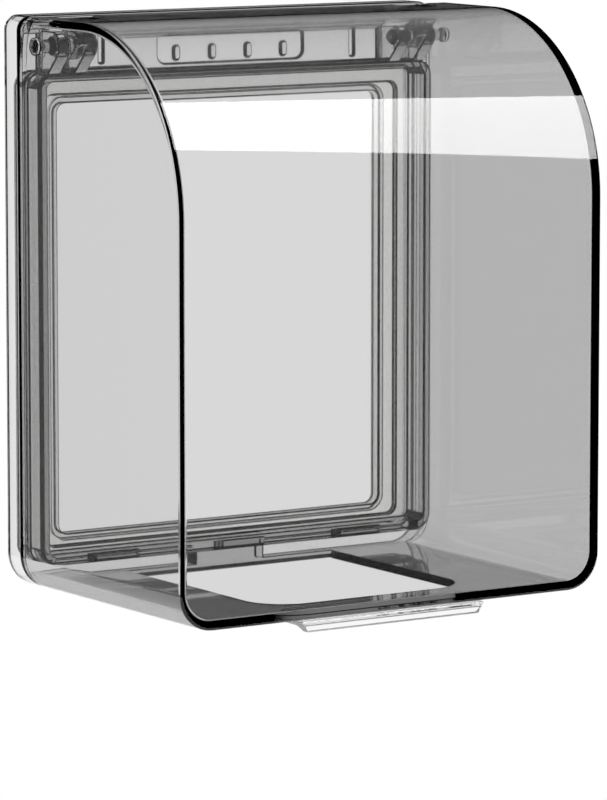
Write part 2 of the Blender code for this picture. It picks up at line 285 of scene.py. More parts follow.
def hull(name: str, shapes: Iterable[Piece]) -> Piece:
    """Joins some shapes and shrinks one skin round them.

    Args:
        name: The new object's name.
        shapes: What the skin goes round. They are used up.

    Returns:
        The filled-out form.
    """
    first, *rest = shapes
    activate(first)
    for shape in rest:
        shape.select_set(True)
    bpy.ops.object.join()
    first.name = name
    bpy.ops.object.mode_set(mode="EDIT")
    bpy.ops.mesh.select_all(action="SELECT")
    bpy.ops.mesh.convex_hull()
    bpy.ops.object.mode_set(mode="OBJECT")
    return first


def clean(piece: Piece) -> None:
    """Merges stray points, clears flat faces of needless edges and turns every face outwards.

    Args:
        piece: The piece to clean.
    """
    activate(piece)
    bpy.ops.object.mode_set(mode="EDIT")
    bpy.ops.mesh.select_all(action="SELECT")
    bpy.ops.mesh.remove_doubles(threshold=MERGE)
    bpy.ops.mesh.dissolve_limited(angle_limit=FLAT_ANGLE)
    bpy.ops.mesh.normals_make_consistent(inside=False)
    bpy.ops.object.mode_set(mode="OBJECT")


def mark_painted_rounds(piece: Piece, widest: float) -> None:
    """Marks the narrow faces of the fine rounds for painted shade, a darker colour where the
    plastic looks dark.

    Args:
        piece: The piece to mark.
        widest: How wide a face of a fine round may be.
    """
    mesh = piece.data
    points = mesh.vertices
    painted_shade = mesh.attributes.new(PAINTED_EDGE_SHADE, "FLOAT", "FACE")
    for face in mesh.polygons:
        longest = max((points[a].co - points[b].co).length for a, b in face.edge_keys)
        painted_shade.data[face.index].value = float(face.area < widest * longest)


def paint_floor_shade(piece: Piece, height: float, share: float) -> None:
    """Paints shade on the level faces below a height: a share of the edges' painted dark, for a
    wall seen at a grazing angle.

    Args:
        piece: The piece, with its rounds marked.
        height: The Z below which its level faces count.
        share: How much of the edges' painted shade they take.
    """
    painted_shade = piece.data.attributes[PAINTED_EDGE_SHADE]
    for face in piece.data.polygons:
        if face.center.z < height and abs(face.normal.z) > 0.99:
            painted_shade.data[face.index].value = max(painted_shade.data[face.index].value, share)


def soften(piece: Piece, width: float, steps: int = 2) -> None:
    """Breaks every sharp edge with a fine round, and shades all but the flat faces smooth.

    Args:
        piece: The piece to finish.
        width: The width of the round, or 0 for none.
        steps: How many faces the round has.
    """
    clean(piece)
    if width > 0:
        modifier = piece.modifiers.new("edge_break", "BEVEL")
        modifier.width = width
        modifier.segments = steps
        modifier.limit_method = "ANGLE"
        modifier.angle_limit = SMOOTH_ANGLE
        modifier.use_clamp_overlap = False
        modifier.harden_normals = False
        modifier.miter_outer = "MITER_ARC"
        bpy.ops.object.modifier_apply(modifier=modifier.name)
    activate(piece)
    bpy.ops.object.shade_smooth_by_angle(angle=SMOOTH_ANGLE, keep_sharp_edges=False)
    modifier = piece.modifiers.new("flat_faces", "WEIGHTED_NORMAL")
    modifier.keep_sharp = True
    modifier.weight = 60
    bpy.ops.object.modifier_apply(modifier=modifier.name)


# ---- finishes


def feed(node: bpy.types.Node, values: dict[str, object]) -> None:
    """Sets a node's inputs by their names."""
    for name, value in values.items():
        node.inputs[name].default_value = value


class ShaderGroup:
    """A node group that more than one finish uses, made once."""

    def __init__(self, name: str) -> None:
        """Starts an empty group.

        Args:
            name: The group's name.
        """
        self.tree = bpy.data.node_groups.new(name, "ShaderNodeTree")
        self.source = self.tree.nodes.new("NodeGroupInput")
        self.result = self.tree.nodes.new("NodeGroupOutput")

    def socket(self, name: str, kind: str, way: str, value: float | None = None) -> None:
        """Adds a named input or output.

        Args:
            name: The socket's name.
            kind: Float, Vector or Color.
            way: INPUT or OUTPUT.
            value: The default, if it has one.
        """
        item = self.tree.interface.new_socket(name, in_out=way, socket_type=f"NodeSocket{kind}")
        if value is not None:
            item.default_value = value

    def node(self, kind: str, **settings: object) -> bpy.types.Node:
        """Adds a node.

        Args:
            kind: The node's type, without its prefix.
            settings: The node's own settings.

        Returns:
            The node.
        """
        node = self.tree.nodes.new(f"ShaderNode{kind}")
        for key, value in settings.items():
            setattr(node, key, value)
        return node

    def link(self, start: bpy.types.NodeSocket, end: bpy.types.NodeSocket) -> None:
        """Joins two sockets."""
        self.tree.links.new(start, end)


def moulded_surface() -> bpy.types.NodeTree:
    """Builds the group that gives moulded plastic its faint flow waves and uneven polish.

    Returns:
        The node group, with Roughness and Normal outputs.
    """
    group = ShaderGroup("MouldedSurface")
    inputs = {"Polish": 0.03, "Unevenness": 0.02, "Wave Size": 60.0, "Wave Height": 0.02}
    for name, value in inputs.items():
        group.socket(name, "Float", "INPUT", value)
    group.socket("Roughness", "Float", "OUTPUT")
    group.socket("Normal", "Vector", "OUTPUT")

    place = group.node("TexCoord")
    smear = group.node("TexNoise", noise_dimensions="3D")
    feed(smear, {"Detail": 4.0, "Scale": 45.0})
    group.link(place.outputs["Object"], smear.inputs["Vector"])
    level = group.node("MapRange")
    feed(level, {"From Min": 0.35, "From Max": 0.75})
    group.link(smear.outputs["Fac"], level.inputs["Value"])
    share = group.node("Math", operation="MULTIPLY_ADD")
    group.link(level.outputs["Result"], share.inputs[0])
    group.link(group.source.outputs["Unevenness"], share.inputs[1])
    group.link(group.source.outputs["Polish"], share.inputs[2])
    group.link(share.outputs[0], group.result.inputs["Roughness"])

    wave = group.node("TexNoise", noise_dimensions="3D")
    feed(wave, {"Detail": 1.0})
    group.link(place.outputs["Object"], wave.inputs["Vector"])
    group.link(group.source.outputs["Wave Size"], wave.inputs["Scale"])
    bump = group.node("Bump")
    feed(bump, {"Distance": 0.0002})
    group.link(group.source.outputs["Wave Height"], bump.inputs["Strength"])
    group.link(wave.outputs["Fac"], bump.inputs["Height"])
    group.link(bump.outputs["Normal"], group.result.inputs["Normal"])
    return group.tree


@dataclass(frozen=True)
class ClearPlastic:
    """A see-through moulded plastic that is darker the further light goes inside it, with painted
    shade on its marked faces.
    """

    name: str
    density: float
    lamp_share: float
    tint: Triple = (0.0, 0.0, 0.0)
    # Base colour on the marked fine rounds: painted shade for the dark that refraction gives at
    # edges; 1 paints none
    painted_edge_level: float = 1.0
    polish: float = 0.02
    unevenness: float = 0.02
    wave_height: float = 0.02
    ior: float = 1.5

    def build(self, surface: bpy.types.NodeTree) -> Material:
        """Makes the material.

        Args:
            surface: The group that gives the plastic's polish and waves.

        Returns:
            The material.
        """
        material = bpy.data.materials.new(self.name)
        material.use_nodes = True
        nodes, links = material.node_tree.nodes, material.node_tree.links
        nodes.clear()
        output = nodes.new("ShaderNodeOutputMaterial")
        shader = nodes.new("ShaderNodeBsdfPrincipled")
        # Painted shade: marked faces get a darker base colour, which tints the light through the
        # plastic there
        edges = nodes.new("ShaderNodeAttribute")
        edges.attribute_name = PAINTED_EDGE_SHADE
        painted_shade = nodes.new("ShaderNodeMapRange")
        feed(painted_shade, {"To Min": 1.0, "To Max": self.painted_edge_level})
        links.new(edges.outputs["Fac"], painted_shade.inputs["Value"])
        links.new(painted_shade.outputs["Result"], shader.inputs["Base Color"])
        feed(shader, {"Metallic": 0.0, "IOR": self.ior, "Transmission Weight": 1.0})
        detail = nodes.new("ShaderNodeGroup")
        detail.node_tree = surface
        feed(detail, {"Polish": self.polish, "Unevenness": self.unevenness})
        feed(detail, {"Wave Height": self.wave_height})
        links.new(detail.outputs["Roughness"], shader.inputs["Roughness"])
        links.new(detail.outputs["Normal"], shader.inputs["Normal"])

        lamps = nodes.new("ShaderNodeBsdfTransparent")
        feed(lamps, {"Color": (self.lamp_share,) * 3 + (1.0,)})
        ray = nodes.new("ShaderNodeLightPath")
        mix = nodes.new("ShaderNodeMixShader")
        links.new(ray.outputs["Is Shadow Ray"], mix.inputs[0])
        links.new(shader.outputs[0], mix.inputs[1])
        links.new(lamps.outputs[0], mix.inputs[2])
        links.new(mix.outputs[0], output.inputs["Surface"])

        inside = nodes.new("ShaderNodeVolumeAbsorption")
        feed(inside, {"Color": (*self.tint, 1.0), "Density": self.density})
        links.new(inside.outputs[0], output.inputs["Volume"])
        return material


@dataclass(frozen=True)
class SealFoam:
    """The pale closed-cell foam of the seal ring, soft and translucent."""

    name: str = "seal_foam"
    pale: Triple = (0.96, 0.96, 0.94)
    # Colour of each cell's sunken middle: painted shade in the pits
    painted_pit_shade: Triple = (0.84, 0.84, 0.82)
    cell_scale: float = 1400.0

    def build(self) -> Material:
        """Makes the material, with small round cells in relief and painted shade that darkens each
        cell's sunken middle.

        Returns:
            The material.
        """
        material = bpy.data.materials.new(self.name)
        material.use_nodes = True
        nodes, links = material.node_tree.nodes, material.node_tree.links
        shader = nodes["Principled BSDF"]
        feed(shader, {"Roughness": 0.55, "IOR": 1.2, "Transmission Weight": 1.0})
        place = nodes.new("ShaderNodeTexCoord")
        cells = nodes.new("ShaderNodeTexVoronoi")
        feed(cells, {"Scale": self.cell_scale})
        links.new(place.outputs["Object"], cells.inputs["Vector"])
        # Painted shade: the cells' pits, low in the bump, take the darker colour
        ramp = nodes.new("ShaderNodeValToRGB")
        ramp.color_ramp.elements[0].color = (*self.painted_pit_shade, 1.0)
        ramp.color_ramp.elements[1].color = (*self.pale, 1.0)
        ramp.color_ramp.elements[1].position = 0.45
        links.new(cells.outputs["Distance"], ramp.inputs["Fac"])
        links.new(ramp.outputs["Color"], shader.inputs["Base Color"])
        bump = nodes.new("ShaderNodeBump")
        feed(bump, {"Strength": 0.5, "Distance": 0.0002})
        links.new(cells.outputs["Distance"], bump.inputs["Height"])
        links.new(bump.outputs["Normal"], shader.inputs["Normal"])
        return material


def dress(piece: Piece, finish: Material) -> None:
    """Gives a piece its material.

    Args:
        piece: The piece to dress.
        finish: The material.
    """
    piece.data.materials.clear()
    piece.data.materials.append(finish)


# ---- the cover's sub-assemblies


@dataclass
class Cover:
    """Sizes that more than one sub-assembly takes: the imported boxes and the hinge's measures."""

    base_low: Vector = field(default_factory=Vector)
    base_high: Vector = field(default_factory=Vector)
    lid_low: Vector = field(default_factory=Vector)
    lid_high: Vector = field(default_factory=Vector)
    base_depth: float = 0.006
    hinge_radius: float = 0.0058
    hinge_inset: float = 0.00965
    knuckle_width: float = 0.0027
    ear_radius: float = 0.0029
    ear_thickness: float = 0.0029
    running_gap: float = 0.0003
    pin_radius: float = 0.0014

    @classmethod
    def from_frame(cls) -> Cover:
        """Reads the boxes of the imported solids.

        Returns:
            The cover's shared sizes.
        """
        base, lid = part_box("base_frame"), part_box("lid")
        return cls(base_low=base[0], base_high=base[1], lid_low=lid[0], lid_high=lid[1])

    @property
    def half_width(self) -> float:
        """Half of the outline's width."""
        return self.base_high.x

    @property
    def bottom(self) -> float:
        """The outline's lowest Z."""
        return self.base_low.z

    @property
    def top(self) -> float:
        """The outline's highest Z."""
        return self.base_high.z

    @property
    def axis_y(self) -> float:
        """The hinge axis's Y."""
        return self.lid_high.y - self.hinge_radius

    @property
    def axis_z(self) -> float:
        """The hinge axis's Z."""
        return self.top - self.hinge_radius

    @property
    def hinge_x(self) -> float:
        """How far each hinge's middle lies from the middle of the cover."""
        return self.half_width - self.hinge_inset

    @property
    def ear_reach(self) -> float:
        """Half of the width that the two ears of a hinge take."""
        return self.knuckle_width / 2 + self.running_gap + self.ear_thickness


@dataclass
class Lid:
    """The deep see-through lid with its arc, lead slot, hinge notches and knuckles."""

    cover: Cover
    wall: float = 0.0016
    bottom_wall: float = 0.0018
    arc_radius: float = 0.037
    edge_radius: float = 0.0006
    back_corner_radius: float = 0.007
    front_corner_radius: float = 0.0075
    inner_edge_radius: float = 0.0004
    lip_angle: float = 35.0
    slot_half: float = 0.0245
    slot_ledge: float = 0.009
    slot_corner_radius: float = 0.009
    notch_clearance: float = 0.0005
    notch_corner_radius: float = 0.001
    knuckle_reach: float = 0.0042
    foot_setback: float = 0.0008
    foot_height: float = 0.0008
    # Share of the painted edge shade that the bottom wall's level faces take, for its dark at a
    # grazing view
    bottom_painted_shade: float = 0.62
    edge_break: float = 0.00012
    # Widest face of a fine round that takes painted edge shade
    painted_shade_width: float = 0.00011
    arc_steps: int = 36
    corner_steps: int = 12
    slot_steps: int = 14
    edge_steps: int = 5

    def shell_block(self, name: str, inset: float, low: float, back: float) -> Piece:
        """One of the lid's two boxes, the outer one or the hollow, with its arc and round corners.

        Args:
            name: The new object's name.
            inset: How far it lies inside the outer faces.
            low: Its lowest Z.
            back: Its highest Y.

        Returns:
            The box.
        """
        cover = self.cover
        half = cover.half_width - inset
        front = cover.lid_low.y + inset
        top = cover.top - inset
        piece = block(name, (-half, half), (front, back), (low, top))
        for radius, steps, y in (
            (self.arc_radius, self.arc_steps, front),
            (cover.hinge_radius, self.corner_steps, back),
        ):
            round_edges(
                piece,
                radius - inset,
                steps,
                lambda e: along(e, Axis.X) and near(middle(e).y, y) and near(middle(e).z, top),
            )
        back_radius = self.back_corner_radius - inset
        front_radius = self.front_corner_radius - inset
        round_edges(
            piece,
            back_radius,
            self.corner_steps,
            lambda e: along(e, Axis.Y) and near(middle(e).z, low),
        )
        for side in (-1, 1):
            self.widen_corner(piece, Vector((side * half, front, low)), back_radius, front_radius)
        return piece

    @staticmethod
    def widen_corner(piece: Piece, corner: Vector, start: float, end: float) -> None:
        """Spreads the front end of a round bottom corner to a larger radius.

        Args:
            piece: The piece to edit.
            corner: Where the corner would be if it were sharp.
            start: The radius that it has.
            end: The radius that it gets.
        """

        def at_corner(edge: Edge) -> bool:
            return all(
                near(v.co.y, corner.y)
                and abs(v.co.x - corner.x) < start + MERGE
                and abs(v.co.z - corner.z) < start + MERGE
                for v in edge.verts
            )

        pick_edges(piece, at_corner)
        bpy.ops.transform.resize(value=(end / start, 1.0, end / start), center_override=corner)
        bpy.ops.object.mode_set(mode="OBJECT")

    def round_rim(self, piece: Piece, radius: float, back: float) -> None:
        """Rounds the edges along both sides and the bottom of the front, but not those at the back.

        Args:
            piece: The piece to edit.
            radius: The radius of the round.
            back: The Y of the back, whose edges stay.
        """

        def on_rim(edge: Edge) -> bool:
            return sharp(edge) and not all(near(v.co.y, back) for v in edge.verts)

        round_edges(piece, radius, self.edge_steps, on_rim)

    def shell(self) -> Piece:
        """The lid's walls: the outer box less the hollow.

        Returns:
            The shell, open at the back.
        """
        cover = self.cover
        back = cover.lid_high.y
        outer = self.shell_block("lid_shell", 0.0, cover.bottom, back)
        self.round_rim(outer, self.edge_radius, back)
        inner_back = back - self.wall
        floor = cover.bottom + self.bottom_wall
        hollow = self.shell_block("lid_hollow", self.wall, floor, inner_back)
        self.round_rim(hollow, self.inner_edge_radius, inner_back)
        self.extend_back(hollow, inner_back, self.wall + PAST)
        carve(outer, hollow, Cut.AWAY)
        lip = cover.hinge_radius - self.wall
        lip_z = cover.axis_z + lip * math.sin(math.radians(self.lip_angle))
        lip_y = cover.axis_y + lip * math.cos(math.radians(self.lip_angle))
        half = cover.half_width - self.wall - self.inner_edge_radius
        trim = block("lip_trim", (-half, half), (lip_y, back + PAST), (cover.axis_z - PAST, lip_z))
        carve(outer, trim, Cut.AWAY)
        return outer

    @staticmethod
    def extend_back(piece: Piece, back: float, distance: float) -> None:
        """Draws a piece's flat back face further back.

        Args:
            piece: The piece to edit.
            back: The Y of its back face.
            distance: How far the face moves.
        """
        activate(piece)
        bpy.ops.object.mode_set(mode="EDIT")
        bpy.ops.mesh.select_mode(type="FACE")
        bpy.ops.mesh.select_all(action="DESELECT")
        mesh = bmesh.from_edit_mesh(piece.data)
        for face in mesh.faces:
            face.select_set(all(near(v.co.y, back) for v in face.verts))
        bmesh.update_edit_mesh(piece.data)
        bpy.ops.mesh.extrude_region_move(TRANSFORM_OT_translate={"value": (0, distance, 0)})
        bpy.ops.object.mode_set(mode="OBJECT")

    def slot_tool(self) -> Piece:
        """The shape of the lead slot in the bottom wall.

        Returns:
            The cutting shape.
        """
        cover = self.cover
        front = cover.lid_low.y + self.slot_ledge
        heights = (cover.bottom - PAST, cover.bottom + self.bottom_wall + PAST)
        depth = (front, cover.lid_high.y + PAST)
        tool = block("slot_tool", (-self.slot_half, self.slot_half), depth, heights)
        round_edges(
            tool,
            self.slot_corner_radius,
            self.slot_steps,
            lambda e: along(e, Axis.Z) and near(middle(e).y, front),
        )
        return tool

    def notch_tool(self, side: int) -> Piece:
        """The shape of the notch over one hinge.

        Args:
            side: -1 for the left hinge, 1 for the right one.

        Returns:
            The cutting shape.
        """
        cover = self.cover
        half = cover.ear_reach + self.notch_clearance
        centre = side * cover.hinge_x
        front = cover.axis_y - cover.ear_radius - self.notch_clearance
        heights = (cover.axis_z + cover.ear_radius / 2, cover.top + PAST)
        depth = (front, cover.lid_high.y + PAST)
        tool = block("notch_tool", (centre - half, centre + half), depth, heights)
        round_edges(
            tool,
            self.notch_corner_radius,
            self.edge_steps,
            lambda e: along(e, Axis.Z) and near(middle(e).y, front),
        )
        return tool

    def knuckle(self, side: int) -> Piece:
        """The arm from the lid's top to the pin, between the two ears.

        Args:
            side: -1 for the left hinge, 1 for the right one.

        Returns:
            The arm.
        """
        cover = self.cover
        centre = side * cover.hinge_x
        span = (centre - cover.knuckle_width / 2, centre + cover.knuckle_width / 2)
        root = cover.axis_z + cover.hinge_radius - self.wall
        rear = cover.axis_y - cover.ear_radius - self.notch_clearance - self.foot_setback
        eye = bar("knuckle_eye", cover.ear_radius, span, cover.axis_y, cover.axis_z)
        heights = (root, root + self.foot_height)
        foot = block("knuckle_foot", span, (rear - self.knuckle_reach, rear), heights)
        return hull(f"knuckle_{side}", (eye, foot))

    def bore_tool(self, side: int) -> Piece:
        """The shape of the pin's bore through one side wall and its knuckle.

        Args:
            side: -1 for the left hinge, 1 for the right one.

        Returns:
            The cutting shape.
        """
        cover = self.cover
        span = (side * (cover.hinge_x - cover.knuckle_width), side * (cover.half_width + PAST))
        radius = cover.pin_radius + cover.running_gap
        return bar("bore_tool", radius, span, cover.axis_y, cover.axis_z, BORE_SIDES)

    def build(self, finish: Material) -> Piece:
        """Models the lid and dresses it.

        Args:
            finish: The lid's material.

        Returns:
            The lid.
        """
        lid = self.shell()
        carve(lid, self.slot_tool(), Cut.AWAY)
        for side in (-1, 1):
            carve(lid, self.notch_tool(side), Cut.AWAY)
            carve(lid, self.knuckle(side), Cut.ON)
            carve(lid, self.bore_tool(side), Cut.AWAY)
        soften(lid, self.edge_break)
        # Painted shade: the lid's fine rounds are marked to take a dark colour
        mark_painted_rounds(lid, self.painted_shade_width)
        # Painted shade on the bottom wall's level faces, for the dark of a wall seen at a grazing
        # angle
        paint_floor_shade(lid, self.cover.bottom + self.bottom_wall + PAST, self.bottom_painted_shade)
        dress(lid, finish)
        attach(lid, "lid")
        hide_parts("lid")
        return lid


@dataclass
class BaseFrame:
    """The shallow frame on the wall: stepped floor, rim, panel, ears and the hidden back."""

    cover: Cover
    corner_radii: Span = (0.007, 0.003)
    face_chamfer: float = 0.0005
    bands: Triple = (0.003, 0.0113, 0.005)
    rim_height: float = 0.0045
    rim_wall: float = 0.0020
    skirt_gap: float = 0.0015
    rim_radius: float = 0.0035
    rim_edge: float = 0.0007
    skirt_wall: float = 0.0013
    band_wall: float = 0.0014
    foot_half: float = 0.008
    floor_y: float = -0.0044
    step_y: float = -0.0032
    step_insets: Triple = (0.0029, 0.0030, 0.0009)
    window_insets: Triple = (0.0036, 0.002, 0.0023)
    window_radius: float = 0.002
    drain_depth: float = 0.003
    drain_tabs: tuple[float, ...] = (-0.0292, 0.0, 0.0292)
    drain_tab_half: float = 0.00525
    panel_half: float = 0.01775
    panel_height: float = 0.0078
    panel_depth: float = 0.0006
    panel_margin: float = 0.0011
    panel_radius: float = 0.002
    rib_places: tuple[float, ...] = (-0.01305, -0.00435, 0.00435, 0.01305)
    rib_half: float = 0.00075
    rib_length: float = 0.0034
    rib_height: float = 0.0006
    rib_margin: float = 0.0008
    rib_sink: float = 0.0005
    rib_roundness: float = 0.98
    slit_places: tuple[float, ...] = (-0.02995, 0.02995)
    slit_half: float = 0.0006
    slit_depth: float = 0.0006
    groove_depth: float = 0.002
    window_land: float = 0.0013
    ear_sink: float = 0.0008
    gusset_setback: float = 0.0005
    gusset_edge: float = 0.0001
    edge_break: float = 0.00028
    # Widest face of a fine round that takes painted edge shade
    painted_shade_width: float = 0.00026
    chamfer_steps: int = 4
    rim_edge_steps: int = 6
    rib_steps: int = 5

    @property
    def front(self) -> float:
        """The Y of the bands' front face."""
        return self.cover.base_high.y - self.cover.base_depth

    @property
    def rim_front(self) -> float:
        """The Y of the rim's front face."""
        return self.front - self.rim_height

    @staticmethod
    def inside(frame: Triple, insets: Triple) -> Triple:
        """A smaller rectangle inside a rectangle, both as half width, low and high.

        Args:
            frame: The outer rectangle.
            insets: The distances at the sides, the top and the bottom.

        Returns:
            The inner rectangle.
        """
        half, low, high = frame
        return (half - insets[0], low + insets[2], high - insets[1])

    @staticmethod
    def level(name: str, frame: Triple, y: Span, radii: Span) -> Piece:
        """A rounded block on one of the frame's rectangles."""
        return rounded_block(name, frame[0], (frame[1], frame[2]), y, radii)

    def plate(self) -> tuple[Piece, dict[str, Triple]]:
        """The frame's body with its rim, stepped floor and window.

        Returns:
            The body and the rectangles that its steps follow.
        """
        cover = self.cover
        outline = (cover.half_width, cover.bottom, cover.top)
        rim = self.inside(outline, self.bands)
        recess = self.inside(rim, (self.rim_wall,) * 3)
        step = self.inside(recess, self.step_insets)
        window = self.inside(step, self.window_insets)
        depth = (self.front, cover.base_high.y)
        body = self.level("base_plate", outline, depth, self.corner_radii)
        round_edges(
            body,
            self.face_chamfer,
            self.chamfer_steps,
            lambda e: sharp(e) and near(middle(e).y, self.front),
        )
        wall = self.level("rim", rim, (self.rim_front, self.front + PAST), (self.rim_radius,) * 2)
        round_edges(
            wall,
            self.rim_edge,
            self.rim_edge_steps,
            lambda e: sharp(e) and near(middle(e).y, self.rim_front),
        )
        carve(body, wall, Cut.ON)
        inner_radius = self.rim_radius - self.rim_wall
        out = self.rim_front - PAST
        for name, rect, back, radius in (
            ("recess", recess, self.floor_y, inner_radius),
            ("step", step, self.step_y, self.window_radius),
            ("window", window, PAST, self.window_radius),
        ):
            carve(body, self.level(name, rect, (out, back), (radius, radius)), Cut.AWAY)
        return body, {"outline": outline, "rim": rim, "recess": recess, "window": window}

    def carve_drains(self, body: Piece, rects: dict[str, Triple]) -> None:
        """Lowers the rim's bottom wall between its raised tabs.

        Args:
            body: The frame's body.
            rects: The rectangles that its steps follow.
        """
        end = rects["rim"][0] - self.rim_radius
        heights = (rects["rim"][1] - PAST, rects["recess"][1] + PAST)
        starts = (-end, *(tab + self.drain_tab_half for tab in self.drain_tabs))
        stops = (*(tab - self.drain_tab_half for tab in self.drain_tabs), end)
        depth = (self.rim_front - PAST, self.rim_front + self.drain_depth)
        for span in zip(starts, stops):
            carve(body, block("drain", span, depth, heights), Cut.AWAY)

    def carve_panel(self, body: Piece, rects: dict[str, Triple]) -> None:
        """Sinks the panel between the hinges, with its ribs and the slit at each side.

        Args:
            body: The frame's body.
            rects: The rectangles that its steps follow.
        """
        low = rects["rim"][2] + self.panel_margin
        high = low + self.panel_height
        floor = self.front + self.panel_depth
        out = self.front - PAST
        radii = (self.panel_radius, self.panel_radius)
        panel = rounded_block("panel", self.panel_half, (low, high), (out, floor), radii)
        carve(body, panel, Cut.AWAY)
        for place in self.rib_places:
            foot = low + self.rib_margin
            rib = block(
                "rib",
                (place - self.rib_half, place + self.rib_half),
                (floor - self.rib_height, floor + self.rib_sink),
                (foot, foot + self.rib_length),
            )
            radius = self.rib_half * self.rib_roundness
            round_edges(rib, radius, self.rib_steps, lambda e: along(e, Axis.Y))
            carve(body, rib, Cut.ON)
        for place in self.slit_places:
            span = (place - self.slit_half, place + self.slit_half)
            slit = block("slit", span, (out, self.front + self.slit_depth), (low, high))
            carve(body, slit, Cut.AWAY)

    def carve_back(self, body: Piece, rects: dict[str, Triple]) -> None:
        """Cuts the seal groove into the back, and hollows the bands all round but for a foot.

        Args:
            body: The frame's body.
            rects: The rectangles that its steps follow.
        """
        depth = (-self.groove_depth, PAST)
        radius = self.rim_radius - self.skirt_gap
        land = self.window_radius + self.window_land
        core_rect = self.inside(rects["window"], (-self.window_land,) * 3)
        ring_rect = self.inside(rects["rim"], (self.skirt_gap,) * 3)
        ring = self.level("groove", ring_rect, depth, (radius, radius))
        core = self.level("groove_core", core_rect, (depth[0] - PAST, PAST * 2), (land, land))
        carve(ring, core, Cut.AWAY)
        carve(body, ring, Cut.AWAY)
        skirt = self.inside(rects["outline"], (self.skirt_wall,) * 3)
        low_radius, high_radius = (r - self.skirt_wall for r in self.corner_radii)
        depth = (self.front + self.band_wall, PAST)
        hollow = self.level("hollow", skirt, depth, (low_radius, high_radius))
        through = (depth[0] - PAST, PAST * 2)
        core = self.level("hollow_core", rects["rim"], through, (self.rim_radius,) * 2)
        carve(hollow, core, Cut.AWAY)
        span = (-self.foot_half, self.foot_half)
        foot = block("hollow_foot", span, through, (skirt[1] - PAST, rects["rim"][1] + PAST))
        carve(hollow, foot, Cut.AWAY)
        carve(body, hollow, Cut.AWAY)

    def ear(self, near_x: float, far_x: float, rim_top: float) -> Piece:
        """One ear, round about the pin, on a gusset that stands on the rim.

        Args:
            near_x: The X of the face next to the knuckle.
            far_x: The X of the other face.
            rim_top: The Z of the rim's top face.

        Returns:
            The ear.
        """
        cover = self.cover
        span = tuple(sorted((near_x, far_x)))
        rear = self.front + self.ear_sink
        foot = rim_top - self.ear_sink
        eye = bar("ear_eye", cover.ear_radius, span, cover.axis_y, cover.axis_z)
        depth = (self.rim_front + self.gusset_setback, rear)
        gusset = block("ear_gusset", span, depth, (foot, foot + self.gusset_edge))
        heights = (foot, cover.axis_z + cover.ear_radius)
        back = block("ear_back", span, (rear - self.gusset_edge, rear), heights)
        return hull("ear", (eye, gusset, back))

    def add_ears(self, body: Piece, rects: dict[str, Triple]) -> None:
        """Stands two ears at each hinge and bores them.

        Args:
            body: The frame's body.
            rects: The rectangles that its steps follow.
        """
        cover = self.cover
        inner = cover.knuckle_width / 2 + cover.running_gap
        for side in (-1, 1):
            centre = side * cover.hinge_x
            for way in (-1, 1):
                near_x = centre + way * inner
                far_x = near_x + way * cover.ear_thickness
                carve(body, self.ear(near_x, far_x, rects["rim"][2]), Cut.ON)
            reach = cover.ear_reach + PAST
            radius = cover.pin_radius + cover.running_gap
            span = (centre - reach, centre + reach)
            bore = bar("bore", radius, span, cover.axis_y, cover.axis_z, BORE_SIDES)
            carve(body, bore, Cut.AWAY)

    def build(self, finish: Material) -> Piece:
        """Models the base frame and dresses it.

        Args:
            finish: The frame's material.

        Returns:
            The base frame.
        """
        body, rects = self.plate()
        self.carve_drains(body, rects)
        self.carve_back(body, rects)
        self.carve_panel(body, rects)
        self.add_ears(body, rects)
        body.name = "base_moulding"
        soften(body, self.edge_break)
        # Painted shade: the frame's fine rounds are marked to take a dark colour
        mark_painted_rounds(body, self.painted_shade_width)
        dress(body, finish)
        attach(body, "base")
        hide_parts("base_frame")
        return body


@dataclass
class HingePins:
    """The two short pins, one through each side wall and its ears."""

    chamfer: float = 0.0003
    chamfer_steps: int = 4

    def build(self, finish: Material) -> list[Piece]:
        """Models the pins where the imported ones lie.

        Args:
            finish: The pins' material.

        Returns:
            The two pins.
        """
        pins = []
        for node in ("hinge_pin_left", "hinge_pin_right"):
            low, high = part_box(node)
            axis = (low + high) / 2
            pin = bar(f"{node}_round", (high.z - low.z) / 2, (low.x, high.x), axis.y, axis.z)
            round_edges(pin, self.chamfer, self.chamfer_steps, sharp)
            soften(pin, 0.0)
            dress(pin, finish)
            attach(pin, "lid")
            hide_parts(node)
            pins.append(pin)
        return pins


@dataclass
class PullTab:
    """The clear finger strip under the front edge."""

    lip: float = 0.0018
    flange: float = 0.001
    taper: float = 0.0014
    edge_break: float = 0.0003
    edge_steps: int = 3

    def build(self, finish: Material) -> Piece:
        """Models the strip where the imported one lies: a flange with a lip along its front.

        Args:
            finish: The strip's material.

        Returns:
            The strip.
        """
        low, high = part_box("pull_tab")
        span = (low.x, high.x)
        strip = block("pull_strip", span, (low.y, high.y), (high.z - self.flange, high.z))
        lip = block("pull_lip", span, (low.y, low.y + self.lip), (low.z, high.z))
        carve(strip, lip, Cut.ON)
        clean(strip)
        pick_edges(strip, lambda e: all(near(v.co.z, low.z) for v in e.verts))
        share = 1 - self.taper / high.x
        bpy.ops.transform.resize(value=(share, 1, 1), center_override=(0, 0, 0))
        bpy.ops.object.mode_set(mode="OBJECT")
        soften(strip, self.edge_break, self.edge_steps)
        dress(strip, finish)
        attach(strip, "lid")
        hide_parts("pull_tab")
        return strip


